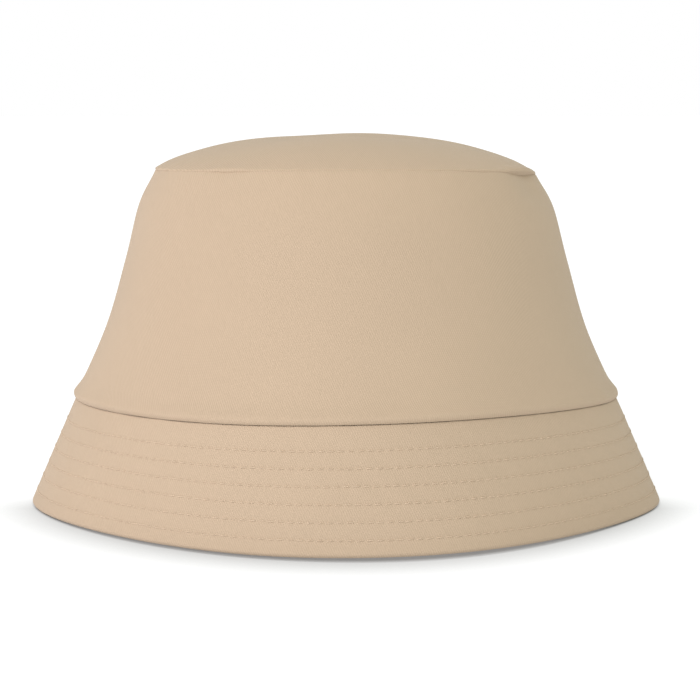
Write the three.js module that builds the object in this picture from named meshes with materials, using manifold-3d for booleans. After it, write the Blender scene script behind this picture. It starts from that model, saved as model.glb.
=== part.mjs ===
// Bucket hat sewn from cotton twill, standing on its brim.
// Millimetres, +Z up. The origin is on the resting plane, under the middle of the crown. The front of
// the hat faces -Y, and the two side seams lie at +X and -X.
//
// Every ring-shaped piece is turned as a lathe about Z from a closed (radius, height) profile, then
// pulled into the oval of the hat. Its cloth keeps its thickness all the way round.

import * as THREE from 'three';
import { mergeVertices } from 'three/addons/utils/BufferGeometryUtils.js';
import Module from 'manifold-3d';

const wasm = await Module();
wasm.setup();

// ---------------------------------------------------------------- driving dimensions
const RIM_RADIUS = 109.6;         // mean radius of the brim's outer edge
const BRIM_HEIGHT = 43.5;         // height of the seam between brim and crown
const SEAM_RADIUS = 95.2;         // mean radius of the crown where it meets the brim
const CROWN_SEAM_HEIGHT = 127.7;  // height of the seam between side band and top panel
const CROWN_TOP_RADIUS = 63.8;    // mean radius of that seam
const DOME_RISE = 12;             // how far the top panel bulges above its seam
const DOME_SQUARENESS = 3.2;      // exponent of the dome's section: 2 is a parabola, more is flatter

const CROWN_OVAL = 7.6;           // added to the radius at the sides, taken off it front and back
const RIM_OVAL = 11.2;            // the same at the brim's edge, where the oval is longer
const SADDLE = 2;                 // rise of the lower seam front and back, and its drop at the sides
const TOP_SADDLE = 1.5;           // the same at the top seam
const RIM_PINCH = 0.31;           // how much the brim's edge is drawn in towards its creased ends
const SEAM_PINCH = 0.235;         // the same at the crown's lower seam, fading out up the crown
const PINCH_POWER = 2.3;          // how closely the pinch keeps to the ends

const CROWN_CLOTH = 1.2;
const TOP_CLOTH = 1.0;
const BRIM_CLOTH = 0.6;
const INTERLINING = 0.6;
const BAND_CLOTH = 0.8;
const TAPE = 0.5;
const THREAD = 0.5;
const GAP = 0.35;                 // air kept between touching pieces

const LIP = 0.9;                  // how far the crown's folded lower edge swells over the brim
const LIP_SPREAD = 3;             // height over which that swelling fades
const TURNED_EDGE = 4;            // width of the brim's turned outer edge
const SEAM_ALLOWANCE = 8;         // brim cloth sewn up inside the crown
const TOP_ALLOWANCE = 6;          // top-panel cloth turned down inside the crown
const BAND_WIDTH = 32;
const TAPE_WIDTH = 12;

const STITCH_ROWS = 6;
const FIRST_ROW = 0.19;           // place of the first row, as a share of the brim from the seam down
const ROW_STEP = 0.135;           // share of the brim between two rows

const SEGMENTS = 48;              // facets round the hat
const STATION_LENGTH = 10;        // longest facet up the hat
const REACH = 300;                // larger than the hat, for the blocks that cut it

// ---------------------------------------------------------------- the two outer lines of the hat
const crownLine = new THREE.SplineCurve([
  new THREE.Vector2(SEAM_RADIUS, BRIM_HEIGHT),
  new THREE.Vector2(83.8, 69),
  new THREE.Vector2(76, 94),
  new THREE.Vector2(70.9, 115),
  new THREE.Vector2(CROWN_TOP_RADIUS, CROWN_SEAM_HEIGHT),
]);
const crownLength = crownLine.getLength();

const brimTop = offsetPoint(crownLine, 0, CROWN_CLOTH + GAP);
const brimLine = new THREE.QuadraticBezierCurve(
  new THREE.Vector2(RIM_RADIUS, 0),
  new THREE.Vector2(102.8, 22.8),
  brimTop,
);
const brimLength = brimLine.getLength();

// Depths below the outer face, layer by layer
const interliningDepth = BRIM_CLOTH + GAP;
const underDepth = interliningDepth + INTERLINING + GAP;
const brimDepth = underDepth + BRIM_CLOTH;
const liningDepth = CROWN_CLOTH + GAP;
const underAllowanceDepth = liningDepth + BRIM_CLOTH + GAP;
const bandDepth = liningDepth + brimDepth + GAP;
const topAllowance = TOP_ALLOWANCE / crownLength;
const turnedEdge = TURNED_EDGE / brimLength;
const gapOnBrim = GAP / brimLength;

// A point of a line, moved into the hat by depth
function offsetPoint(line, share, depth) {
  const point = line.getPointAt(share);
  const tangent = line.getTangentAt(share);
  return new THREE.Vector2(point.x - tangent.y * depth, point.y + tangent.x * depth);
}

// The shares where a line is sampled between two of its shares. All layers share the inner ones, so
// the facets of neighbouring layers are parallel.
function stations(line, from, to) {
  const count = Math.round(line.getLength() / STATION_LENGTH);
  const low = Math.min(from, to);
  const high = Math.max(from, to);
  const shares = [low];
  for (let i = 1; i < count; i += 1) {
    const share = i / count;
    if (share > low && share < high) shares.push(share);
  }
  shares.push(high);
  return from < to ? shares : shares.reverse();
}

// Points at one depth along a line. The depth may be a number or a function of the share.
function offsetPoints(line, from, to, depth) {
  return stations(line, from, to).map(
    (share) => offsetPoint(line, share, typeof depth === 'number' ? depth : depth(share)),
  );
}

// A strip of cloth along a line: up its outer face, then down its inner one
function strip(line, from, to, outer, inner) {
  return [...offsetPoints(line, from, to, outer), ...offsetPoints(line, to, from, inner)];
}

// ---------------------------------------------------------------- profile to solid
// How far the oval departs from a circle at one height and radius
function ovalPull(radius, height) {
  const belowSeam = Math.max(0, 1 - height / BRIM_HEIGHT);
  const pull = THREE.MathUtils.lerp(CROWN_OVAL, RIM_OVAL, belowSeam);
  return pull * Math.min(1, radius / CROWN_TOP_RADIUS);
}

function upCrown(height) {
  return THREE.MathUtils.clamp((height - BRIM_HEIGHT) / (CROWN_SEAM_HEIGHT - BRIM_HEIGHT), 0, 1);
}

function saddleRise(radius, height) {
  const crownRise = THREE.MathUtils.lerp(SADDLE, TOP_SADDLE, upCrown(height));
  return crownRise * Math.min(1, height / BRIM_HEIGHT) * Math.min(1, radius / CROWN_TOP_RADIUS);
}

// The hat stores flat, creased at the side seams, so its oval is pinched towards them like a lens
function lensPinch(x, radius, height) {
  const belowSeam = Math.max(0, 1 - height / BRIM_HEIGHT);
  const pinch = THREE.MathUtils.lerp(SEAM_PINCH * (1 - upCrown(height)) ** 2, RIM_PINCH, belowSeam);
  return 1 - pinch * Math.abs(x / radius) ** PINCH_POWER;
}

function pullIntoOval(geometry) {
  const position = geometry.attributes.position;
  for (let i = 0; i < position.count; i += 1) {
    const x = position.getX(i);
    const y = position.getY(i);
    const z = position.getZ(i);
    const radius = Math.hypot(x, y);
    if (radius === 0) continue;
    const pull = ovalPull(radius, z);
    const frontness = (y * y - x * x) / (radius * radius);
    position.setXYZ(
      i,
      x * (radius + pull) / radius,
      y * (radius - pull) / radius * lensPinch(x, radius, z),
      z + saddleRise(radius, z) * frontness,
    );
  }
}

// Joins the vertices that a lathe doubles, and drops the flat triangles at its poles
function weld(geometry) {
  geometry.deleteAttribute('normal');
  geometry.deleteAttribute('uv');
  const welded = mergeVertices(geometry, 1e-4);
  const index = [...welded.index.array];
  const kept = [];
  for (let i = 0; i < index.length; i += 3) {
    const [a, b, c] = index.slice(i, i + 3);
    if (a !== b && b !== c && c !== a) kept.push(a, b, c);
  }
  welded.setIndex(kept);
  return welded;
}

function ovalRing(profile, closed = true) {
  const points = profile.map((p) => new THREE.Vector2(p.x, p.y));
  if (closed) points.push(points[0].clone());
  const geometry = new THREE.LatheGeometry(points, SEGMENTS);
  geometry.rotateX(Math.PI / 2);
  const welded = weld(geometry);
  pullIntoOval(welded);
  return welded;
}

function toManifold(geometry) {
  return new wasm.Manifold(new wasm.Mesh({
    numProp: 3,
    vertProperties: new Float32Array(geometry.attributes.position.array),
    triVerts: new Uint32Array(geometry.index.array),
  }));
}

function toGeometry(manifold) {
  const mesh = manifold.getMesh();
  const geometry = new THREE.BufferGeometry();
  geometry.setAttribute('position', new THREE.BufferAttribute(new Float32Array(mesh.vertProperties), 3));
  geometry.setIndex([...mesh.triVerts]);
  return geometry;
}

function block(width, depth, height, x, y, z) {
  const geometry = new THREE.BoxGeometry(width, depth, height);
  geometry.translate(x, y, z);
  return toManifold(weld(geometry));
}

// The part of a ring in front of the side seams (side -1) or behind them (side 1)
function half(ring, side) {
  const keep = block(REACH, REACH, REACH, 0, side * (REACH + GAP) / 2, 0);
  return toGeometry(toManifold(ring).intersect(keep));
}

// The strip of a ring that lies over one side seam, at -X or +X
function overSideSeam(ring, side) {
  const keep = block(REACH, TAPE_WIDTH, REACH, side * REACH / 2, 0, REACH / 2);
  return toGeometry(toManifold(ring).intersect(keep));
}

// ---------------------------------------------------------------- materials
const TWILL = { color: 0xd6bc99, roughness: 0.9, metalness: 0 };
const LINING = { color: 0xd9c5a6, roughness: 0.92, metalness: 0 };
const STIFFENER = { color: 0xeceae4, roughness: 0.95, metalness: 0 };
const SEWING_THREAD = { color: 0xcbb08c, roughness: 0.7, metalness: 0 };

const hat = new THREE.Group();

function addPiece(name, geometry, look) {
  const mesh = new THREE.Mesh(geometry, new THREE.MeshStandardMaterial(look));
  mesh.name = name;
  hat.add(mesh);
}

// ---------------------------------------------------------------- crown
// Oval top panel: a shallow dome whose edge is turned down inside the side band
function crownTopProfile() {
  const edge = crownLine.getTangentAt(1).multiplyScalar(GAP).add(crownLine.getPointAt(1));
  const steps = 7;
  const dome = (drop, reach) => {
    const points = [];
    for (let i = 0; i <= steps; i += 1) {
      const radius = reach * Math.sin((i / steps) * Math.PI / 2);
      const rise = DOME_RISE * (1 - (radius / edge.x) ** DOME_SQUARENESS);
      points.push(new THREE.Vector2(radius, edge.y + rise - drop));
    }
    return points;
  };
  const flangeEnd = 1 - topAllowance;
  const flangeInside = offsetPoints(crownLine, 1, flangeEnd, liningDepth + TOP_CLOTH);
  const flangeOutside = offsetPoints(crownLine, flangeEnd, 1, liningDepth);
  const underside = dome(TOP_CLOTH, flangeInside[0].x - TOP_CLOTH);
  return [...underside, ...flangeInside, ...flangeOutside, ...dome(0, edge.x).reverse()];
}

// Side band: a bell-shaped wall whose lower edge is folded and swells a little over the brim
function crownSideProfile() {
  const lip = (share) => -LIP * Math.exp(-((share * crownLength / LIP_SPREAD) ** 2));
  const lipEnd = 2 * LIP_SPREAD / crownLength;
  return [
    ...offsetPoints(crownLine, 0, lipEnd / 2, lip),
    ...offsetPoints(crownLine, lipEnd, 1, 0),
    ...offsetPoints(crownLine, 1, 0, CROWN_CLOTH),
  ];
}

addPiece('crown_top', ovalRing(crownTopProfile(), false), TWILL);

const crownSide = ovalRing(crownSideProfile());
addPiece('crown_side_front', half(crownSide, -1), TWILL);
addPiece('crown_side_back', half(crownSide, 1), TWILL);

// ---------------------------------------------------------------- tapes and band inside the crown
const topTapeDepth = liningDepth + TOP_CLOTH + GAP;
const topTape = strip(crownLine, 1 - 1.2 * topAllowance, 1 - 0.3 * topAllowance, topTapeDepth,
  topTapeDepth + TAPE);
addPiece('top_seam_tape', ovalRing(topTape), LINING);

const sideTapeStart = (SEAM_ALLOWANCE + 1) / crownLength;
const sideTape = ovalRing(
  strip(crownLine, sideTapeStart, 1 - 1.3 * topAllowance, liningDepth, liningDepth + TAPE),
);
addPiece('side_seam_tape_left', overSideSeam(sideTape, -1), LINING);
addPiece('side_seam_tape_right', overSideSeam(sideTape, 1), LINING);

const sweatband = strip(crownLine, 0, BAND_WIDTH / crownLength, bandDepth, bandDepth + BAND_CLOTH);
addPiece('sweatband', ovalRing(sweatband), LINING);

// ---------------------------------------------------------------- brim
// Upper cloth: wraps the outer edge, and runs up inside the crown as its seam allowance
function brimUpperProfile() {
  const inside = turnedEdge + gapOnBrim;
  const allowance = SEAM_ALLOWANCE / crownLength;
  const rimInside = offsetPoint(brimLine, 0, brimDepth);
  return [
    new THREE.Vector2(RIM_RADIUS - BRIM_CLOTH / 2, 0),
    ...offsetPoints(brimLine, BRIM_CLOTH / brimLength, 1, 0),
    offsetPoint(crownLine, allowance, liningDepth),
    offsetPoint(crownLine, allowance, liningDepth + BRIM_CLOTH),
    ...offsetPoints(brimLine, 1, inside, BRIM_CLOTH),
    offsetPoint(brimLine, turnedEdge, BRIM_CLOTH),
    offsetPoint(brimLine, turnedEdge, brimDepth),
    new THREE.Vector2(rimInside.x + BRIM_CLOTH / 2, 0),
  ];
}

// Under cloth: from the turned edge up to the seam, and on inside the crown
function brimUnderProfile() {
  const start = turnedEdge + gapOnBrim;
  const allowance = SEAM_ALLOWANCE / crownLength;
  return [
    ...offsetPoints(brimLine, start, 1, underDepth),
    offsetPoint(crownLine, allowance, underAllowanceDepth),
    offsetPoint(crownLine, allowance, underAllowanceDepth + BRIM_CLOTH),
    ...offsetPoints(brimLine, 1, start, brimDepth),
  ];
}

const interliningProfile = strip(brimLine, turnedEdge + gapOnBrim, 1 - gapOnBrim, interliningDepth,
  interliningDepth + INTERLINING);

const brimLayers = [
  ['brim_upper', brimUpperProfile(), TWILL],
  ['brim_interlining', interliningProfile, STIFFENER],
  ['brim_under', brimUnderProfile(), TWILL],
];
for (const [name, profile, look] of brimLayers) {
  const ring = ovalRing(profile);
  addPiece(`${name}_front`, half(ring, -1), look);
  addPiece(`${name}_back`, half(ring, 1), look);
}

// ---------------------------------------------------------------- stitching on the brim
// A ring of thread with a square section, centred at one depth below the brim's outer face
function threadProfile(share, depth) {
  const centre = offsetPoint(brimLine, share, depth);
  const radius = THREAD / 2;
  return [
    new THREE.Vector2(centre.x, centre.y - radius),
    new THREE.Vector2(centre.x + radius, centre.y),
    new THREE.Vector2(centre.x, centre.y + radius),
    new THREE.Vector2(centre.x - radius, centre.y),
  ];
}

const threadClearance = GAP + THREAD / 2;
for (let row = 0; row < STITCH_ROWS; row += 1) {
  const share = 1 - FIRST_ROW - ROW_STEP * row;
  const needle = threadProfile(share, -threadClearance);
  const bobbin = threadProfile(share, brimDepth + threadClearance);
  addPiece(`brim_needle_thread_${row + 1}`, ovalRing(needle), SEWING_THREAD);
  addPiece(`brim_bobbin_thread_${row + 1}`, ovalRing(bobbin), SEWING_THREAD);
}

export default hat;
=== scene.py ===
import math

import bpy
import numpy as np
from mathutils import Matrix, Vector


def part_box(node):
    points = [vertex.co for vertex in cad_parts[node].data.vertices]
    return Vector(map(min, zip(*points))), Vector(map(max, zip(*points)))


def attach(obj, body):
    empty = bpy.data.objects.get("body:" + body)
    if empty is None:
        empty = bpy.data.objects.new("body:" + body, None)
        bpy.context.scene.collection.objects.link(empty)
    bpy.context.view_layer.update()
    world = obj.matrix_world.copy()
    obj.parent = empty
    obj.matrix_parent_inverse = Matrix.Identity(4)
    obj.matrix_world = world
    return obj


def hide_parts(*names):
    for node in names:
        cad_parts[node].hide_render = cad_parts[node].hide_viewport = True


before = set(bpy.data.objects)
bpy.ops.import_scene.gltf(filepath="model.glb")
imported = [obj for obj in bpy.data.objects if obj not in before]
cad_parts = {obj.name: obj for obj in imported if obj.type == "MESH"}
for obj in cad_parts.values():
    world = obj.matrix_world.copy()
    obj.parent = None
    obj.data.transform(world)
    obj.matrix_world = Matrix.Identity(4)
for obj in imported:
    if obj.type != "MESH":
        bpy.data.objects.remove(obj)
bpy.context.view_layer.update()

# A bucket hat sewn from beige cotton twill, standing on its brim on a white studio floor.
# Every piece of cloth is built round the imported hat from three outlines: brim, crown side and dome.
# A place on the hat is given as a distance along an outline, a depth below the outer face and an angle
# round the hat: -90 degrees is the front, and 0 and 180 are the two side seams. All sizes are metres.

MM = 0.001

# ------------------------------------------------------------------ shape
# Height of each crown seam round the hat, in millimetres: an offset, then waves of one, two and
# three crests
LOWER_SEAM_WAVES = (-0.32, 0.58, -2.0, -0.53)
TOP_SEAM_WAVES = (1.3, -0.23, -1.2, -0.16)
LEFT_DIP = -0.35 * MM           # height added to the top seam's waves at its two ends, where it dips,
RIGHT_DIP = -1.6 * MM
DIP_WIDTH = 18                  # and how far round it does so, in degrees
LEFT_TRIM = 1.2 * MM            # how far the top seam is drawn in at its two ends,
RIGHT_TRIM = 1.7 * MM
TRIM_WIDTH = 24                 # how far round, in degrees,
TRIM_HEIGHT = 7 * MM            # and how far above and below the seam
RIM_LIFT = 1.5 * MM             # the brim stands on its side corners, and rises this much between them
RIM_PINCH = 0.31                # how much the rim's oval is drawn in towards its creased ends
SEAM_PINCH = 0.235              # the same at the crown's lower seam, from where it fades out upwards
PINCH_SKEW = 0.023              # the rim's right end is drawn in more than the left by twice this
PINCH_POWER = 2.3               # how closely the pinch keeps to the ends
RIM_EXTRA = 0.5 * MM            # how far the turned edge stands out beyond the frame's rim
BASE_INSET = 0.14 * MM          # how far the seam lies inside the frame's widest ring of the crown
TOP_RING = 0.682                # radius of the top seam, as a share of the crown's lower seam
LOW_RADIUS = 0.593              # radii of the crown's side at three heights between its two seams,
MID_RADIUS = 0.346              # as shares from the top seam's radius to the lower one's,
HIGH_RADIUS = 0.178
LOW_HEIGHT = 0.31               # and those heights, as shares from the lower seam to the top one
MID_HEIGHT = 0.607
HIGH_HEIGHT = 0.845
BRIM_BOW = 0.13 * MM            # outward bow of the brim
DOME_EXTRA = -0.9 * MM          # height of the dome beyond the frame's
DOME_SQUARENESS = 3.2           # exponent of the dome's section: 2 is a parabola, more is flatter
DOME_SLACK = 0.26 * MM          # height of the slow waves of the top panel,
CROWN_SLACK = 0.45 * MM         # of the crown's side
BRIM_SLACK = 0.45 * MM          # and of the brim
LEFT_SHOULDER = -0.3 * MM       # how far the side stands out below the top seam, at the crown's ends
RIGHT_SHOULDER = 0.1 * MM
LEFT_CORNER = 0.5 * MM          # the same on the edge of the top panel
RIGHT_CORNER = 0.67 * MM
END_WIDTH = 38                  # how far round shoulders and corners reach from the ends, in degrees
TUCKS = (                       # where the top seam is drawn in: place and width in degrees, strength
    (-125, 8, 0.9),
    (-50, 5, 0.55),
    (-26, 11, 2.2),
    (65, 14, 0.6),
    (148, 10, 0.8),
)
CORNER_DENT = 1.7 * MM          # a dent in the crown's side below its right front corner,
DENT_PLACE = -25                # where it is round the hat and how wide, in degrees,
DENT_WIDTH = 9
DENT_HEIGHT = 6 * MM            # and both how far below the top seam it is and how tall

# ------------------------------------------------------------------ sizes taken from the frame
rim_low, rim_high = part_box("brim_upper_front")
side_low, side_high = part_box("crown_side_front")
top_low, top_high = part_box("crown_top")

SEAM_RISE = 2.4 * MM            # mean height of the side band's two seams above its lowest point,
TOP_DROP = 1.7 * MM             # and below its highest
BRIM_SETBACK = 0.35 * MM        # the brim's outer face starts this far inside the crown's
BRIM_TUCK = 0.35 * MM           # and runs on this far behind the crown's lower edge
CROWN_CLOTH = 1.2 * MM
BRIM_CLOTH = 0.6 * MM
BRIM_THICKNESS = 2.5 * MM       # upper cloth, interlining and under cloth together
LINING_DEPTH = 1.55 * MM        # where what is sewn inside the crown wall begins
TAPE_CLOTH = 0.5 * MM
BAND_CLOTH = 0.8 * MM
BAND_WIDTH = 32 * MM
TURNED_EDGE = 4 * MM            # width of the upper cloth's hem under the rim
ALLOWANCE = 8 * MM              # height of the brim's seam allowance inside the crown

rim_radius = (rim_high.x - rim_low.y) / 2 + RIM_EXTRA
rim_pull = (rim_high.x + rim_low.y) / 2
base_radius = (side_high.x - side_low.y) / 2 - BASE_INSET
crown_pull = (side_high.x + side_low.y) / 2
top_radius = TOP_RING * base_radius
seam_height = side_low.z + SEAM_RISE
top_seam_height = side_high.z - TOP_DROP
dome_rise = top_high.z - top_seam_height + DOME_EXTRA

STITCH_ROWS = 6
FIRST_ROW = 0.19                # place of the row next to the crown, as a share of the brim's width,
ROW_STEP = 0.135                # and from one row to the next

# ------------------------------------------------------------------ outlines
OUTLINE_POINTS = 600
OVERRUN = 6 * MM                # every outline runs straight on past both its ends


class Outline:
    """A line from low to high on the hat's section, as (radius, height) by distance along it."""

    def __init__(self, points):
        steps = np.linalg.norm(np.diff(points, axis=0), axis=1)
        self.length = float(steps.sum())
        along = np.concatenate([[0], np.cumsum(steps)])
        start = points[0] - (points[1] - points[0]) / steps[0] * OVERRUN
        end = points[-1] + (points[-1] - points[-2]) / steps[-1] * OVERRUN
        self.points = np.vstack([start, points, end])
        self.along = np.concatenate([[-OVERRUN], along, [self.length + OVERRUN]])
        slope = np.gradient(self.points, self.along, axis=0)
        slope /= np.linalg.norm(slope, axis=1, keepdims=True)
        self.outward = np.stack([slope[:, 1], -slope[:, 0]], axis=1)

    def at(self, along, depth):
        """Radius and height at distances along the line and depths below it."""
        radius = np.interp(along, self.along, self.points[:, 0])
        height = np.interp(along, self.along, self.points[:, 1])
        out_r = np.interp(along, self.along, self.outward[:, 0])
        out_h = np.interp(along, self.along, self.outward[:, 1])
        return radius - out_r * depth, height - out_h * depth


def through(points):
    """A smooth curve through a few points (uniform Catmull-Rom, with its ends doubled)."""
    points = np.array(points)
    padded = np.vstack([points[0], points, points[-1]])
    share = np.linspace(0, 1, OUTLINE_POINTS // (len(points) - 1))[:, None]
    pieces = []
    for a, b, c, d in zip(padded, padded[1:], padded[2:], padded[3:]):
        pieces.append(0.5 * (2 * b + (c - a) * share + (2 * a - 5 * b + 4 * c - d) * share ** 2
                             + (3 * b - a - 3 * c + d) * share ** 3)[:-1])
    return np.vstack(pieces + [points[-1:]])


def bend(start, middle, end):
    """A quadratic Bezier curve."""
    t = np.linspace(0, 1, OUTLINE_POINTS)[:, None]
    return (1 - t) ** 2 * np.array(start) + 2 * t * (1 - t) * np.array(middle) + t ** 2 * np.array(end)


def crown_point(radius_share, height_share):
    """A point of the crown's side, between its lower seam and its top seam."""
    return (top_radius + (base_radius - top_radius) * radius_share,
            seam_height + (top_seam_height - seam_height) * height_share)


crown = Outline(through([
    crown_point(1.0, 0.0),
    crown_point(LOW_RADIUS, LOW_HEIGHT),
    crown_point(MID_RADIUS, MID_HEIGHT),
    crown_point(HIGH_RADIUS, HIGH_HEIGHT),
    crown_point(0.0, 1.0),
]))


def brim_outline(depth_at_seam, bow):
    """A brim layer's line, from the rim up to a given depth inside the crown's lower edge."""
    top = crown.at(0.0, depth_at_seam)
    middle = ((rim_radius + top[0]) / 2 + bow, top[1] / 2)
    return Outline(bend((rim_radius, 0.0), middle, top))


brim = brim_outline(BRIM_SETBACK, BRIM_BOW)
under_brim = brim_outline(LINING_DEPTH, BRIM_BOW)

dome_share = np.cos(np.linspace(0, math.pi / 2, OUTLINE_POINTS))
dome = Outline(np.stack([
    top_radius * dome_share,
    top_seam_height + dome_rise * (1 - dome_share ** DOME_SQUARENESS),
], axis=1))


def seam_wave(waves, theta):
    """Height of a seam round the hat, from an offset and the sizes of its waves in millimetres."""
    return MM * sum(size * np.cos(crests * theta) for crests, size in enumerate(waves))


def to_space(radius, height, theta):
    """Pulls the round section into the hat's oval."""
    nearness = np.clip(radius / top_radius, 0, 1)
    below = np.clip(1 - height / seam_height, 0, 1)
    up_crown = np.clip((height - seam_height) / (top_seam_height - seam_height), 0, 1)
    pull = (crown_pull + (rim_pull - crown_pull) * below) * nearness
    low_rise = seam_wave(LOWER_SEAM_WAVES, theta)
    top_rise = seam_wave(TOP_SEAM_WAVES, theta) + ends(theta, LEFT_DIP, RIGHT_DIP, DIP_WIDTH)
    seam_rise = low_rise + (top_rise - low_rise) * up_crown
    rise = (1 - below) * seam_rise * nearness + below * RIM_LIFT * np.sin(theta) ** 2
    size = SEAM_PINCH * (1 - up_crown) ** 2 * (1 - below) + (RIM_PINCH + PINCH_SKEW * np.cos(theta)) * below
    pinch = size * np.abs(np.cos(theta)) ** PINCH_POWER
    trim = ends(theta, LEFT_TRIM, RIGHT_TRIM, TRIM_WIDTH) * bump(height, top_seam_height, TRIM_HEIGHT)
    return np.stack([
        (radius + pull - trim) * np.cos(theta),
        (radius - pull) * np.sin(theta) * (1 - pinch),
        height + rise,
    ], axis=-1)


def surface(line, along, depth, theta):
    """Points of the hat. The arguments may be arrays that broadcast together."""
    along, depth, theta = np.broadcast_arrays(along, depth, theta)
    return to_space(*line.at(along, depth), theta)


# ------------------------------------------------------------------ relief of the cloth
def ripple(theta, fewest, most, seed):
    """Uneven waves round the hat, with between fewest and most crests, about 1 high."""
    waves = np.arange(fewest, most + 1)
    phases = np.random.default_rng(seed).uniform(0, 2 * math.pi, len(waves))
    total = sum(np.cos(wave * theta + phase) for wave, phase in zip(waves, phases))
    return total / math.sqrt(len(waves) / 2)


def bump(value, centre, width):
    """1 at the centre, fading smoothly to nothing on both sides."""
    return np.exp(-((value - centre) / width) ** 2)


def turn_from(theta, centre_degrees):
    """Signed angle in degrees from a place round the hat."""
    return (np.degrees(theta) - centre_degrees + 180) % 360 - 180


def ends(theta, left, right, width=END_WIDTH):
    """A relief that is left high at the hat's left end and right high at its right end."""
    return left * bump(turn_from(theta, 180), 0, width) + right * bump(turn_from(theta, 0), 0, width)


def top_tuck(theta):
    """How much the top seam is drawn in: short runs round the hat."""
    return sum(size * bump(turn_from(theta, place), 0, width) for place, width, size in TUCKS)


def seam_puckers(distance, theta, seed):
    """Fine unevenness beside the top seam, about 1 high at the seam."""
    reach = 5 * MM
    return np.exp(-distance / reach) * ripple(theta, fewest=34, most=60, seed=seed)


def crown_lip(along, theta):
    """The rounded lip over the brim, fuller at the front and back than at the ends."""
    full = (1.3 + 0.2 * np.sin(theta) ** 2) * MM * bump(along, 1.3 * MM, 4.2 * MM)
    uneven = 0.1 * MM * ripple(theta, fewest=20, most=34, seed=6) * bump(along, 3 * MM, 5 * MM)
    return full + uneven


def crown_relief(along, theta):
    """How far the crown's side stands out from its plain line."""
    share = along / crown.length
    middle = np.sin(math.pi * np.clip(share, 0, 1))
    lean = 0.8 * share
    broad = ripple(theta + lean, fewest=2, most=5, seed=3)
    narrow = 0.4 * ripple(theta, fewest=5, most=9, seed=4)
    slack = CROWN_SLACK * middle * (broad + narrow)
    from_top = np.clip(crown.length - along, 0, None)
    puckers = 0.05 * MM * seam_puckers(from_top, theta, seed=5)
    tuck = 0.8 * MM * top_tuck(theta) * np.exp(-from_top / (1.6 * MM))
    dent = CORNER_DENT * bump(turn_from(theta, DENT_PLACE), 0, DENT_WIDTH)
    dent = dent * bump(from_top, DENT_HEIGHT, DENT_HEIGHT)
    shoulders = ends(theta, LEFT_SHOULDER, RIGHT_SHOULDER) * bump(from_top, 2 * MM, 11 * MM)
    return slack + puckers + shoulders + crown_lip(along, theta) - dent - tuck


def row_place(row):
    """Distance from the rim of one row of stitching."""
    return (1 - FIRST_ROW - ROW_STEP * row) * brim.length


def brim_relief(along, theta):
    """Stitched channels, the soft quilting between them, and the brim's slow waves."""
    channels = sum(bump(along, row_place(row), 0.9 * MM) for row in range(STITCH_ROWS))
    quilted = bump(along, brim.length / 2, brim.length * 0.45)
    to_rim = np.clip(1 - along / brim.length, 0, 1)
    waves = BRIM_SLACK * ripple(theta, fewest=2, most=6, seed=11) * to_rim
    slant = along * 9
    fine = 0.05 * MM * ripple(theta + slant, fewest=40, most=70, seed=12) * quilted
    return waves + fine - 0.09 * MM * channels


def dome_relief(along, theta):
    """The top panel: a slow dip off centre, and its edge over the seam's tucked runs."""
    share = np.clip(along / dome.length, 0, 1)
    slack = DOME_SLACK * np.sin(math.pi * share) * ripple(theta, fewest=1, most=4, seed=21)
    edge = np.clip(along, 0, None)
    puckers = 0.06 * MM * seam_puckers(edge, theta, seed=22)
    overlap = 0.4 * MM * top_tuck(theta) * bump(edge, 1.4 * MM, 1.6 * MM)
    corners = ends(theta, LEFT_CORNER, RIGHT_CORNER) * bump(edge, 5 * MM, 8 * MM)
    return slack + puckers + corners + overlap


# ------------------------------------------------------------------ mesh building
COLUMN = 1.25 * MM              # spacing of the columns of points round the hat
SEAM_ROUND = 0.7 * MM           # radius of the folded edges along a seam
SEAM_STEPS = np.array([0, 0.1, 0.25, 0.45, 0.7, 1.0, 1.5]) * MM     # closer columns beside a side seam
FIRST_COLUMN = 2.2 * MM         # distance of the first even column from a side seam
RING_REACH = base_radius        # radius at which distances round the hat are measured


def half_turn(front):
    """Angles from one side seam to the other, closer together beside the seams."""
    beside = SEAM_STEPS / RING_REACH
    first = FIRST_COLUMN / RING_REACH
    count = int(math.pi * RING_REACH / COLUMN)
    middle = np.linspace(first, math.pi - first, count)
    turn = np.concatenate([beside, middle, math.pi - beside[::-1]])
    return turn - math.pi if front else turn


def full_turn():
    count = int(2 * math.pi * RING_REACH / COLUMN)
    return np.linspace(-math.pi, math.pi, count, endpoint=False)


def seam_fold(theta):
    """Extra depth beside a side seam, where the cloth is folded in."""
    to_seam = np.abs((np.degrees(theta) + 90) % 180 - 90) * math.pi / 180 * RING_REACH
    inside = np.clip(SEAM_ROUND - to_seam, 0, SEAM_ROUND)
    return SEAM_ROUND - np.sqrt(np.maximum(SEAM_ROUND ** 2 - inside ** 2, 0))


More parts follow.
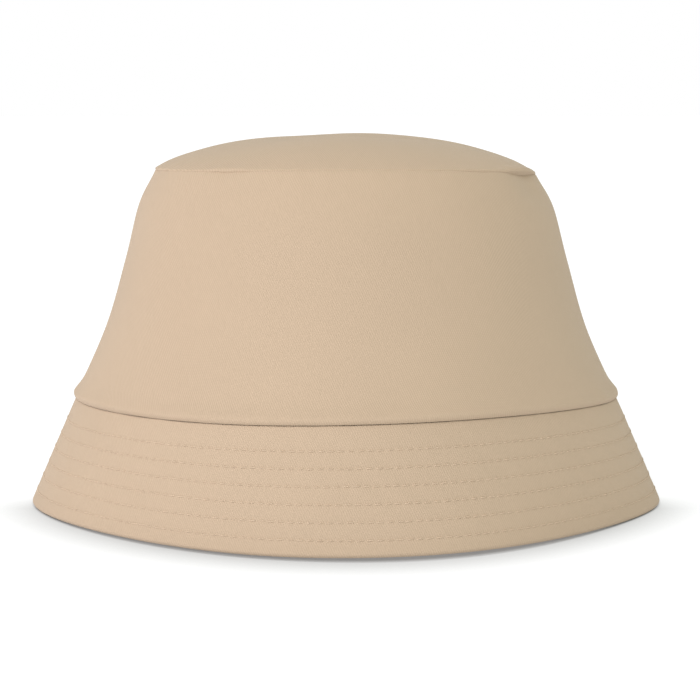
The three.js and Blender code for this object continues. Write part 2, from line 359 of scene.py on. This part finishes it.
class Cloth:
    """Rows of points round the hat, with each point's place on the flat cut of the cloth."""

    def __init__(self, theta, centre, closed=False):
        self.theta = theta[None, :]
        self.centre = centre
        self.closed = closed
        self.rows = []
        self.flat = []

    def add(self, line, along, depth, relief=None, folded=True):
        """Adds rows at distances along a line. depth is a number or one number per row."""
        along = np.atleast_1d(along)[:, None]
        depth = np.broadcast_to(np.atleast_1d(depth)[:, None], along.shape)
        moved = depth + (seam_fold(self.theta) if folded else 0)
        if relief is not None:
            moved = moved - relief(along, self.theta)
        self.rows.append(surface(line, along, moved, self.theta))
        self.flat.append(self.flat_place(line, along))

    def flat_place(self, line, along):
        """Unrolls the cone that the line sweeps, so the weave runs as it does on the cut cloth.

        A cloth without a centre is nearly flat, and keeps its places as they are from above."""
        if self.centre is None:
            return self.rows[-1][..., :2]
        wide, narrow = line.points[1, 0], line.points[-2, 0]
        taper = (wide - narrow) / line.length
        reach = wide / taper - along
        turn = (self.theta - self.centre) * taper
        return np.stack([reach * np.sin(turn), -reach * np.cos(turn)], axis=-1)


def add_object(name, data):
    made = bpy.data.objects.new(name, data)
    bpy.context.scene.collection.objects.link(made)
    return made


def mesh_piece(name, points, faces, places):
    """A smooth mesh. places holds each point's place on the flat cut."""
    mesh = bpy.data.meshes.new(name)
    mesh.from_pydata(points.tolist(), [], faces)
    mesh.shade_smooth()
    corners = np.empty(len(mesh.loops), dtype=np.int32)
    mesh.loops.foreach_get("vertex_index", corners)
    mesh.uv_layers.new(name="cut").data.foreach_set("uv", places[corners].ravel())
    return add_object(name, mesh)


def half_cloth(front):
    """The front or the back half of a panel, which is cut round its middle."""
    return Cloth(half_turn(front), -math.pi / 2 if front else math.pi / 2)


def half_name(front):
    return "front" if front else "back"


def cloth_piece(name, cloth, poles=()):
    """Joins a cloth's rows into one closed mesh. Its faces point out. A pole is a row and its tip."""
    rows = np.vstack(cloth.rows)
    count, columns = rows.shape[:2]
    index = np.arange(count * columns).reshape(count, columns)
    up = index if poles else np.vstack([index, index[:1]])
    if cloth.closed:
        up = np.hstack([up, up[:, :1]])
    quads = np.stack([up[:-1, :-1], up[:-1, 1:], up[1:, 1:], up[1:, :-1]], axis=-1).reshape(-1, 4)
    faces = quads.tolist()
    points = rows.reshape(-1, 3)
    places = np.vstack(cloth.flat).reshape(-1, 2)
    for row, point in poles:
        tip = len(points)
        points = np.vstack([points, point])
        places = np.vstack([places, point[:2]])
        ring = index[row]
        for a, b in zip(ring, np.roll(ring, -1)):
            faces.append([int(a), int(b), tip] if row else [int(b), int(a), tip])
    if not cloth.closed:
        faces.append(index[:, 0].tolist())
        faces.append(index[::-1, -1].tolist())
    return mesh_piece(name, points, faces, places)


def finish_piece(piece, material, replaced):
    piece.data.materials.append(material)
    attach(piece, "root")
    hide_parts(replaced)
    return piece


def spaced(start, end, step):
    """Even distances from start to end, about one step apart."""
    return np.linspace(start, end, max(2, int(abs(end - start) / step) + 1))


def rounded(edge, radius, angles, depth=0):
    """Places along and below an outline on a rounded edge. Angle 0 is at its outer face."""
    return edge + radius * np.sin(angles), depth + radius * (1 - np.cos(angles))


def arc(start_degrees, end_degrees, steps):
    """Angles at even steps, in radians."""
    return np.radians(np.linspace(start_degrees, end_degrees, steps))


# ------------------------------------------------------------------ node helpers
def new_material(name):
    material = bpy.data.materials.new(name)
    material.use_nodes = True
    tree = material.node_tree
    shader = tree.nodes["Principled BSDF"]
    return material, tree, shader


def feed(tree, socket, value):
    """Links a node's output to a socket, or gives the socket a plain value."""
    if isinstance(value, bpy.types.NodeSocket):
        tree.links.new(value, socket)
    else:
        socket.default_value = value


def node(tree, kind, inputs=None, **settings):
    made = tree.nodes.new(kind)
    for key, value in settings.items():
        setattr(made, key, value)
    for key, value in (inputs or {}).items():
        feed(tree, made.inputs[key], value)
    return made


def maths(tree, operation, *values):
    made = node(tree, "ShaderNodeMath", operation=operation)
    for socket, value in zip(made.inputs, values):
        feed(tree, socket, value)
    return made.outputs[0]


def mixed(tree, share, first, second):
    """A colour between two. The node's sockets go by number, since several have the same name."""
    made = node(tree, "ShaderNodeMix", data_type="RGBA")
    for number, value in ((0, share), (6, first), (7, second)):
        feed(tree, made.inputs[number], value)
    return made.outputs[2]


def cut_place(tree):
    """Each point's place on the flat cut of its cloth, in metres."""
    return node(tree, "ShaderNodeUVMap", uv_map="cut").outputs[0]


def raise_surface(tree, shader, height, strength, distance):
    relief = node(tree, "ShaderNodeBump", {"Height": height, "Strength": strength, "Distance": distance})
    tree.links.new(relief.outputs[0], shader.inputs["Normal"])


def stretched_noise(tree, place, scale, detail=2.0):
    moved = node(tree, "ShaderNodeMapping", {"Vector": place, "Scale": scale})
    noise = node(tree, "ShaderNodeTexNoise",
                 {"Vector": moved.outputs[0], "Scale": 1.0, "Detail": detail})
    return noise.outputs["Fac"]


# ------------------------------------------------------------------ materials
TWILL_PITCH = 0.70 * MM         # distance between two diagonal ribs
TWILL_ANGLE = 67                # steepness of the ribs, in degrees
YARN_PITCH = 0.27 * MM
TAPE_WEAVE = 0.9 * MM           # distance between two yarns of the tape
TWIST_PITCH = 0.5 * MM          # distance between two bands along a thread,
TWIST_TURNS = 2.0               # and how many times they wind round it
CLOTH_SHINE = 0.2
# How fine the cloth's unevenness is, in patches for each metre across and along it
RIB_WANDER = (260.0, 90.0, 1.0)
TWILL_SLUBS = (2600.0, 260.0, 1.0)
DYE_PATCHES = (28.0, 22.0, 1.0)
NAP = (1500.0, 1500.0, 1.0)
TAPE_SLUBS = (900.0, 900.0, 1.0)
FELT_FIBRES = (1400.0, 1400.0, 1400.0)


def twill_heights(tree, place):
    """Height of the twill: diagonal ribs, each broken into the floats of its yarns."""
    axes = node(tree, "ShaderNodeSeparateXYZ", {"Vector": place})
    across, up = axes.outputs["X"], axes.outputs["Y"]
    wander = stretched_noise(tree, place, RIB_WANDER)
    wander = maths(tree, "MULTIPLY", wander, 0.9)
    slant = math.radians(TWILL_ANGLE)
    ribs = maths(tree, "ADD", maths(tree, "MULTIPLY", across, math.sin(slant) / TWILL_PITCH),
                 maths(tree, "MULTIPLY", up, math.cos(slant) / TWILL_PITCH))
    ribs = maths(tree, "ADD", ribs, wander)
    rib_wave = maths(tree, "SINE", maths(tree, "MULTIPLY", ribs, 2 * math.pi))
    yarns = maths(tree, "SINE", maths(tree, "MULTIPLY", up, 2 * math.pi / YARN_PITCH))
    rib_share = maths(tree, "MULTIPLY_ADD", rib_wave, 0.38, 0.5)
    return maths(tree, "MULTIPLY_ADD", yarns, 0.08, rib_share)


def twill(name, thread_colour, painted_valley_shade):
    """Matt cotton twill with fine ribs, painted shade in the valleys between them, slubs in its yarns and a
    faint unevenness of dye.
    """
    material, tree, shader = new_material(name)
    place = cut_place(tree)
    height = twill_heights(tree, place)
    slubs = stretched_noise(tree, place, TWILL_SLUBS, detail=3.0)
    dye = stretched_noise(tree, place, DYE_PATCHES)
    # Painted shade: the valleys between the ribs take the darker valley colour, and the rib tops the thread
    # colour.
    colour = mixed(tree, maths(tree, "MULTIPLY_ADD", height, 0.7, 0.25), painted_valley_shade, thread_colour)
    shade = node(tree, "ShaderNodeHueSaturation", {
        "Color": colour,
        "Value": maths(tree, "ADD", maths(tree, "MULTIPLY", slubs, 0.09),
                       maths(tree, "MULTIPLY_ADD", dye, 0.05, 0.93)),
    })
    tree.links.new(shade.outputs[0], shader.inputs["Base Color"])
    tree.links.new(maths(tree, "MULTIPLY_ADD", slubs, 0.12, 0.82), shader.inputs["Roughness"])
    nap = stretched_noise(tree, place, NAP, detail=3.0)
    raised = maths(tree, "MULTIPLY_ADD", nap, 0.5, height)
    raise_surface(tree, shader, raised, strength=0.8, distance=0.09 * MM)
    shader.inputs["Specular IOR Level"].default_value = CLOTH_SHINE
    shader.inputs["Sheen Weight"].default_value = 0.12
    shader.inputs["Sheen Roughness"].default_value = 0.5
    return material


def tape_cloth(name, light, painted_hollow_shade):
    """Plain-weave cotton tape: a small check of warp and weft, with painted shade in its hollows."""
    material, tree, shader = new_material(name)
    place = cut_place(tree)
    axes = node(tree, "ShaderNodeSeparateXYZ", {"Vector": place})
    turn = 2 * math.pi / TAPE_WEAVE
    warp = maths(tree, "SINE", maths(tree, "MULTIPLY", axes.outputs["X"], turn))
    weft = maths(tree, "SINE", maths(tree, "MULTIPLY", axes.outputs["Y"], turn))
    check = maths(tree, "MULTIPLY_ADD", maths(tree, "MULTIPLY", warp, weft), 0.4, 0.5)
    slubs = stretched_noise(tree, place, TAPE_SLUBS, detail=3.0)
    # Painted shade: the hollows of the weave, where the check is low, take the darker colour.
    colour = mixed(tree, check, painted_hollow_shade, light)
    shade = node(tree, "ShaderNodeHueSaturation",
                 {"Color": colour, "Value": maths(tree, "MULTIPLY_ADD", slubs, 0.16, 0.9)})
    tree.links.new(shade.outputs[0], shader.inputs["Base Color"])
    tree.links.new(maths(tree, "MULTIPLY_ADD", slubs, 0.1, 0.85), shader.inputs["Roughness"])
    raise_surface(tree, shader, check, strength=0.5, distance=0.08 * MM)
    shader.inputs["Specular IOR Level"].default_value = CLOTH_SHINE
    return material


def felted(name, pressed, fibre):
    """Non-woven interlining: pressed fibres with no direction."""
    material, tree, shader = new_material(name)
    place = node(tree, "ShaderNodeTexCoord").outputs["Object"]
    fibres = stretched_noise(tree, place, FELT_FIBRES, detail=4.0)
    tree.links.new(mixed(tree, fibres, pressed, fibre), shader.inputs["Base Color"])
    tree.links.new(maths(tree, "MULTIPLY_ADD", fibres, 0.15, 0.8), shader.inputs["Roughness"])
    raise_surface(tree, shader, fibres, strength=0.4, distance=0.1 * MM)
    return material


def sewing_thread(name, colour, painted_groove_shade):
    """Twisted thread: bands that wind round it, with painted shade in the grooves between them."""
    material, tree, shader = new_material(name)
    axes = node(tree, "ShaderNodeSeparateXYZ", {"Vector": cut_place(tree)})
    winding = maths(tree, "ADD", maths(tree, "MULTIPLY", axes.outputs["X"], 1 / TWIST_PITCH),
                    maths(tree, "MULTIPLY", axes.outputs["Y"], TWIST_TURNS))
    twist = maths(tree, "SINE", maths(tree, "MULTIPLY", winding, 2 * math.pi))
    share = maths(tree, "MULTIPLY_ADD", twist, 0.4, 0.55)
    # Painted shade: the grooves between the twist's bands take the darker groove colour.
    tree.links.new(mixed(tree, share, painted_groove_shade, colour), shader.inputs["Base Color"])
    tree.links.new(maths(tree, "MULTIPLY_ADD", twist, 0.08, 0.6), shader.inputs["Roughness"])
    raise_surface(tree, shader, twist, strength=0.4, distance=0.05 * MM)
    return material


# ------------------------------------------------------------------ camera, stage and light
EYE_DISTANCE = 0.739            # from the camera to the middle of the hat, along the floor
EYE_HEIGHT = 0.165
AIM_HEIGHT = 0.0583
AIM_SIDE = 1.5 * MM             # the camera stands this far right of the middle
LENS = 100.4                    # focal length and sensor width, in millimetres
SENSOR = 36


def aim(thing, place, target):
    """Puts a camera or a lamp at a place and turns it to face the target."""
    thing.location = place
    direction = np.array(target) - np.array(place)
    pitch = math.atan2(direction[2], math.hypot(direction[0], direction[1]))
    heading = math.atan2(-direction[0], direction[1])
    thing.rotation_euler = (math.pi / 2 + pitch, 0, heading)


def make_camera():
    data = bpy.data.cameras.new("camera")
    data.lens = LENS
    data.sensor_width = SENSOR
    data.clip_start = 10 * MM
    camera = add_object("camera", data)
    aim(camera, (AIM_SIDE, -EYE_DISTANCE, EYE_HEIGHT), (AIM_SIDE, 0, AIM_HEIGHT))
    bpy.context.scene.camera = camera


SHADE_REACH = 26 * MM           # how far from the hat the floor's soft shade ends
SHADE_START = 6 * MM            # the shade fades in from this y towards the front, through this depth
SHADE_DEPTH = 22 * MM
SHADE_POWER = 1.6               # how much the shade is deepened close to the hat
SHADE_RAYS = 16
FLOOR_GLOW = 0.78
FLOOR_TINT = (0.99, 1.0, 1.01, 1)
FLOOR_GREY = (0.30, 0.30, 0.30, 1)


def floor_material():
    """White, softly lit and evenly glowing studio floor, with a painted shadow close in front of the hat.
    """
    material, tree, shader = new_material("studio_floor")
    nearness = node(tree, "ShaderNodeAmbientOcclusion", {"Distance": SHADE_REACH}, samples=SHADE_RAYS)
    closed = maths(tree, "SUBTRACT", nearness.outputs["AO"], 1.0)
    place = node(tree, "ShaderNodeTexCoord").outputs["Object"]
    depth = node(tree, "ShaderNodeSeparateXYZ", {"Vector": place}).outputs["Y"]
    in_front = node(tree, "ShaderNodeMapRange", {
        "Value": depth, "From Min": SHADE_START, "From Max": SHADE_START - SHADE_DEPTH,
    }).outputs[0]
    # Painted shadow: the floor's glow is dimmed where the hat hides it from the AO node's rays, and only in
    # front of the hat.
    shade = maths(tree, "POWER", maths(tree, "MULTIPLY_ADD", in_front, closed, 1.0), SHADE_POWER)
    tree.links.new(maths(tree, "MULTIPLY", shade, FLOOR_GLOW), shader.inputs["Emission Strength"])
    shader.inputs["Emission Color"].default_value = FLOOR_TINT
    shader.inputs["Base Color"].default_value = FLOOR_GREY
    shader.inputs["Roughness"].default_value = 1.0
    shader.inputs["Specular IOR Level"].default_value = 0.0
    return material


def make_stage():
    reach = 6.0
    corners = [(-reach, -reach, 0), (reach, -reach, 0), (reach, reach, 0), (-reach, reach, 0)]
    mesh = bpy.data.meshes.new("studio_floor")
    mesh.from_pydata(corners, [], [(0, 1, 2, 3)])
    mesh.materials.append(floor_material())
    add_object("studio_floor", mesh)


ROUND_LIGHT = 0.62              # strength of the walls all round, and what the front and right ones add
FRONT_LIGHT = 0.42
RIGHT_LIGHT = 0.25
WALL_TINT = (0.98, 1.03, 0.935, 1)
WHITE = (1, 1, 1, 1)
LAMP_TINT = (1.03, 0.963, 1.055)
LAMP_SPREAD = 70                # how wide each lamp looks from the hat, in degrees


def studio_walls():
    """Soft light from all round, a little stronger from the front and from the right, seen as white."""
    world = bpy.data.worlds.new("studio")
    world.use_nodes = True
    tree = world.node_tree
    background = tree.nodes["Background"]
    axes = node(tree, "ShaderNodeSeparateXYZ",
                {"Vector": node(tree, "ShaderNodeTexCoord").outputs["Generated"]})
    right = maths(tree, "MAXIMUM", axes.outputs["X"], 0.0)
    front = maths(tree, "MAXIMUM", maths(tree, "MULTIPLY", axes.outputs["Y"], -1.0), 0.0)
    strength = maths(tree, "MULTIPLY_ADD", right, RIGHT_LIGHT, ROUND_LIGHT)
    strength = maths(tree, "MULTIPLY_ADD", front, FRONT_LIGHT, strength)
    seen = node(tree, "ShaderNodeLightPath").outputs["Is Camera Ray"]
    tree.links.new(maths(tree, "MAXIMUM", strength, seen), background.inputs["Strength"])
    tree.links.new(mixed(tree, seen, WALL_TINT, WHITE), background.inputs["Color"])
    bpy.context.scene.world = world


def soft_lamp(name, energy, place):
    """A very large, distant lamp, aimed at the hat."""
    data = bpy.data.lights.new(name, "SUN")
    data.energy = energy
    data.angle = math.radians(LAMP_SPREAD)
    data.color = LAMP_TINT
    aim(add_object(name, data), place, (0, 0, 0))


def make_light():
    studio_walls()
    soft_lamp("key", energy=1.41, place=(-0.5, -0.6, 0.5))
    soft_lamp("left", energy=0.78, place=(-0.85, -0.45, 0.2))
    bpy.context.scene.view_settings.view_transform = "Standard"
    bpy.context.scene.view_settings.look = "None"


# ------------------------------------------------------------------ crown
ROLL_RADIUS = 2.2 * MM          # the crown's lower edge rolls in over the brim,
ROLL_END = 64                   # through this many degrees,
EDGE_RADIUS = 0.3 * MM          # and then turns up inside more tightly,
EDGE_END = 150                  # as far as this


def rolled_edge(angles, radius):
    """Places along and below the crown's outline on its rolled edge. Angle 0 faces straight out."""
    end = math.radians(ROLL_END)
    inset = ROLL_RADIUS - radius
    along = inset * (1 - math.sin(end)) + radius * (1 - np.sin(angles))
    depth = ROLL_RADIUS - inset * math.cos(end) - radius * np.cos(angles)
    return along, depth


def crown_side(front, material, tape):
    """One half of the side band; its seam's tape is made apart, and the tape argument is not used. Its
    lower edge rolls under, over the brim.
    """
    cloth = half_cloth(front)
    cloth.add(crown, *rolled_edge(arc(EDGE_END, ROLL_END, steps=8), EDGE_RADIUS), crown_relief)
    cloth.add(crown, *rolled_edge(arc(ROLL_END - 6, 4, steps=9), ROLL_RADIUS), crown_relief)
    top_turn = crown.length - SEAM_ROUND
    cloth.add(crown, spaced(ROLL_RADIUS + 0.3 * MM, top_turn, 1.4 * MM), 0, crown_relief)
    cloth.add(crown, *rounded(top_turn, SEAM_ROUND, arc(10, 90, steps=6)), crown_relief)
    cloth.add(crown, spaced(crown.length, 1.5 * MM, 3 * MM), CROWN_CLOTH, crown_relief)
    side = half_name(front)
    piece = cloth_piece(f"twill_crown_side_{side}", cloth)
    return finish_piece(piece, material, f"crown_side_{side}")


def crown_top(material, tape):
    """The domed oval panel. Its edge is folded down inside the side band, and the tape covers it; the tape
    argument is not used.
    """
    cloth = Cloth(full_turn(), None, closed=True)
    thickness = MM
    inside_edge = 2 * MM
    centre = dome.length - 0.5 * MM
    flange_top = crown.length - MM
    flange_low = crown.length - 6 * MM
    cloth.add(dome, spaced(centre, inside_edge, 3 * MM), thickness, dome_relief, folded=False)
    cloth.add(crown, spaced(flange_top, flange_low, 2 * MM), LINING_DEPTH + thickness, crown_relief,
              folded=False)
    cloth.add(crown, spaced(flange_low, flange_top, 2 * MM), LINING_DEPTH, crown_relief, folded=False)
    cloth.add(dome, *rounded(SEAM_ROUND, SEAM_ROUND, arc(-90, 0, steps=6)), dome_relief, folded=False)
    cloth.add(dome, spaced(SEAM_ROUND * 1.3, centre, 1.3 * MM), 0, dome_relief, folded=False)
    summit = dome.points[-2, 1] + dome_relief(dome.length, 0.0)
    tips = [(0, np.array([0, 0, summit - thickness])), (-1, np.array([0, 0, summit]))]
    piece = cloth_piece("twill_crown_top", cloth, poles=tips)
    return finish_piece(piece, material, "crown_top")


# ------------------------------------------------------------------ brim
RIM_CENTRE = 1.6 * MM           # the rim's round edge is centred this far up the brim
LAYER_GAP = 0.4 * MM            # clearance between the edges of the brim's layers


def brim_upper(front, material):
    """Upper cloth: wraps the rim, climbs the brim and tucks in under the crown's edge."""
    cloth = half_cloth(front)
    hem_end = RIM_CENTRE + 0.3 * MM
    cloth.add(brim, spaced(TURNED_EDGE, hem_end, 0.8 * MM), BRIM_THICKNESS, brim_relief)
    cloth.add(brim, *rounded(RIM_CENTRE, BRIM_THICKNESS / 2, arc(-175, -5, steps=11)), brim_relief)
    tuck = brim.length + BRIM_TUCK - SEAM_ROUND
    cloth.add(brim, spaced(RIM_CENTRE, tuck, 0.45 * MM), 0, brim_relief)
    cloth.add(brim, *rounded(tuck, SEAM_ROUND, arc(15, 90, steps=5)), brim_relief)
    inside = BRIM_TUCK + LAYER_GAP
    cloth.add(crown, [inside, ALLOWANCE], LINING_DEPTH)
    cloth.add(crown, [ALLOWANCE, inside], LINING_DEPTH + BRIM_CLOTH)
    cloth.add(brim, spaced(tuck, TURNED_EDGE + LAYER_GAP, 1.5 * MM), BRIM_CLOTH + 0.1 * MM, brim_relief)
    side = half_name(front)
    piece = cloth_piece(f"twill_brim_upper_{side}", cloth)
    return finish_piece(piece, material, f"brim_upper_{side}")


def brim_under(front, material):
    """Under cloth, from the turned rim up to the seam and a little way inside the crown."""
    cloth = half_cloth(front)
    start = TURNED_EDGE + 0.35 * MM
    face = LINING_DEPTH + BRIM_CLOTH + 0.35 * MM
    cloth.add(under_brim, spaced(start, under_brim.length, 1.5 * MM), BRIM_THICKNESS - BRIM_CLOTH,
              brim_relief)
    cloth.add(crown, [ALLOWANCE, ALLOWANCE], [face, face + BRIM_CLOTH])
    cloth.add(under_brim, spaced(under_brim.length, start, 0.5 * MM), BRIM_THICKNESS, brim_relief)
    side = half_name(front)
    piece = cloth_piece(f"twill_brim_under_{side}", cloth)
    return finish_piece(piece, material, f"brim_under_{side}")


def brim_interlining(front, material):
    """The stiffener between the two cloths. It follows their relief."""
    cloth = half_cloth(front)
    start = TURNED_EDGE + LAYER_GAP
    end = under_brim.length - LAYER_GAP
    face = BRIM_CLOTH + LAYER_GAP
    thickness = 0.5 * MM
    cloth.add(under_brim, spaced(start, end, 2 * MM), face, brim_relief)
    cloth.add(under_brim, spaced(end, start, 2 * MM), face + thickness, brim_relief)
    side = half_name(front)
    piece = cloth_piece(f"stiffener_brim_{side}", cloth)
    return finish_piece(piece, material, f"brim_interlining_{side}")


# ------------------------------------------------------------------ stitching
STITCH_LENGTH = 3.1 * MM
STITCH_SPAN = 0.88              # how much of its length a stitch lies on the cloth
STITCH_DIVE = 0.75 * MM         # how deep its two ends go into the cloth
STITCH_LEAN = 0.16 * MM         # how far it lies askew
THREAD_RADIUS = 0.17 * MM
THREAD_PROUD = 0.75             # how high its middle lies, as a share of the thread's radius
STITCH_RINGS = 7
THREAD_SIDES = 6


def round_tube(centre, outward):
    """Points round each path in centre, whose outer side faces outward."""
    ahead = np.gradient(centre, axis=1)
    ahead /= np.linalg.norm(ahead, axis=-1, keepdims=True)
    across = np.cross(ahead, outward)
    across /= np.linalg.norm(across, axis=-1, keepdims=True)
    upward = np.cross(across, ahead)
    angle = np.linspace(0, 2 * math.pi, THREAD_SIDES, endpoint=False)[:, None]
    ring = np.cos(angle) * across[:, :, None] + np.sin(angle) * upward[:, :, None]
    return centre[:, :, None] + THREAD_RADIUS * ring


def tube_faces(count):
    """Faces of a number of closed tubes, one after another."""
    index = np.arange(count * STITCH_RINGS * THREAD_SIDES).reshape(count, STITCH_RINGS, THREAD_SIDES)
    index = np.concatenate([index, index[:, :, :1]], axis=2)
    quads = np.stack([index[:, :-1, :-1], index[:, :-1, 1:], index[:, 1:, 1:], index[:, 1:, :-1]], axis=-1)
    caps = index[:, 0, -2::-1].tolist() + index[:, -1, :-1].tolist()
    return quads.reshape(-1, 4).tolist() + caps


def stitches(name, line, along, depth, side, material, replaced, seed):
    """One row of lockstitch. side is 1 where the thread lies on the outer face, -1 inside."""
    random = np.random.default_rng(seed)
    around = 2 * math.pi * float(line.at(along, depth)[0])
    count = int(around / STITCH_LENGTH)
    starts = np.arange(count) + random.uniform(-0.05, 0.05, count)
    share = np.linspace(-0.5, 0.5, STITCH_RINGS)
    theta = (starts[:, None] + STITCH_SPAN * share[None, :] + random.uniform()) * 2 * math.pi / count
    rise = THREAD_RADIUS * THREAD_PROUD - STITCH_DIVE * np.abs(2 * share) ** 6
    lean = STITCH_LEAN * share + random.normal(0, STITCH_LEAN / 4, count)[:, None]
    level = depth - side * rise[None, :] - brim_relief(along + lean, theta)
    centre = surface(line, along + lean, level, theta)
    outward = surface(line, along + lean, level - MM, theta) - centre
    thread_place = np.stack(np.broadcast_arrays(
        (starts[:, None, None] + share[None, :, None]) * STITCH_LENGTH,
        np.linspace(0, 1, THREAD_SIDES)[None, None, :]), axis=-1).reshape(-1, 2)
    points = round_tube(centre, outward).reshape(-1, 3)
    piece = mesh_piece(name, points, tube_faces(count), thread_place)
    return finish_piece(piece, material, replaced)


def brim_stitching(material):
    """Each row's needle thread lies on the brim's outer face, and its bobbin thread inside."""
    for row in range(STITCH_ROWS):
        along = row_place(row)
        under_along = along / brim.length * under_brim.length
        number = row + 1
        stitches(f"needle_stitches_{number}", brim, along, 0, 1, material,
                 f"brim_needle_thread_{number}", seed=100 + row)
        stitches(f"bobbin_stitches_{number}", under_brim, under_along, BRIM_THICKNESS, -1, material,
                 f"brim_bobbin_thread_{number}", seed=200 + row)


# ------------------------------------------------------------------ inside the crown
TAPE_TOP = 1.8 * MM             # the top tape's edges, below the top seam
TAPE_BOTTOM = 7.2 * MM
SIDE_TAPE_TOP = 7.8 * MM        # the side tapes end this far below the top seam
SIDE_TAPE_REACH = 6 * MM        # half their width, on the crown where its radius is
SIDE_TAPE_RADIUS = 85 * MM      # this


def band_relief(along, theta):
    """The sweatband's free upper edge is a little wavy."""
    return 0.35 * MM * ripple(theta, fewest=8, most=16, seed=31) * np.clip(along / BAND_WIDTH, 0, 1)


def sweatband(material):
    """A band sewn in at the lower seam. Its upper edge is free and rounded."""
    cloth = Cloth(full_turn(), 0, closed=True)
    depth = LINING_DEPTH + BRIM_THICKNESS + 0.35 * MM
    edge = BAND_CLOTH / 2
    top = BAND_WIDTH - edge
    cloth.add(crown, spaced(0, top, 3 * MM), depth, band_relief, folded=False)
    cloth.add(crown, *rounded(top, edge, arc(15, 165, steps=7), depth), band_relief, folded=False)
    cloth.add(crown, spaced(top, 0, 1.5 * MM), depth + BAND_CLOTH, band_relief, folded=False)
    piece = cloth_piece("cotton_sweatband", cloth)
    return finish_piece(piece, material, "sweatband")


def lay_tape(cloth, low, high, step, depth):
    """Both faces of a tape on the crown's side, between two heights along it."""
    cloth.add(crown, spaced(low, high, step), depth, crown_relief, folded=False)
    cloth.add(crown, spaced(high, low, step), depth + TAPE_CLOTH, crown_relief, folded=False)


def top_tape(material):
    """Tape round the inside of the top seam, over the top panel's folded edge."""
    cloth = Cloth(full_turn(), 0, closed=True)
    lay_tape(cloth, crown.length - TAPE_BOTTOM, crown.length - TAPE_TOP, 1.2 * MM,
             LINING_DEPTH + 1.35 * MM)
    piece = cloth_piece("cotton_top_seam_tape", cloth)
    return finish_piece(piece, material, "top_seam_tape")


def side_tape(side, material):
    """Tape over one side seam, from the brim's seam allowance up to the top tape."""
    centre = 0.0 if side == "right" else math.pi
    reach = SIDE_TAPE_REACH / SIDE_TAPE_RADIUS
    cloth = Cloth(np.linspace(centre - reach, centre + reach, 25), centre)
    lay_tape(cloth, ALLOWANCE + MM, crown.length - SIDE_TAPE_TOP, 1.5 * MM, LINING_DEPTH)
    piece = cloth_piece(f"cotton_side_seam_tape_{side}", cloth)
    return finish_piece(piece, material, f"side_seam_tape_{side}")


# ------------------------------------------------------------------ the scene
make_camera()
make_stage()
make_light()

# The twill's darker valley colour is painted shade in the hollows between its ribs.
beige_twill = twill("beige_twill", thread_colour=(0.500, 0.381, 0.274, 1),
                    painted_valley_shade=(0.408, 0.306, 0.215, 1))
# The tape's darker colour is painted shade in the hollows of its weave.
cotton_tape = tape_cloth("cotton_tape", light=(0.70, 0.58, 0.44, 1), painted_hollow_shade=(0.60, 0.48, 0.35, 1))
interlining = felted("interlining", pressed=(0.82, 0.80, 0.76, 1), fibre=(0.70, 0.68, 0.63, 1))
# The thread's darker groove colour is painted shade between its twisted bands.
beige_thread = sewing_thread("beige_thread", colour=(0.60, 0.46, 0.335, 1),
                             painted_groove_shade=(0.50, 0.38, 0.27, 1))

crown_top(beige_twill, top_tape(cotton_tape))
for is_front, seam in ((True, "left"), (False, "right")):
    crown_side(is_front, beige_twill, side_tape(seam, cotton_tape))
    brim_upper(is_front, beige_twill)
    brim_under(is_front, beige_twill)
    brim_interlining(is_front, interlining)
brim_stitching(beige_thread)
sweatband(cotton_tape)
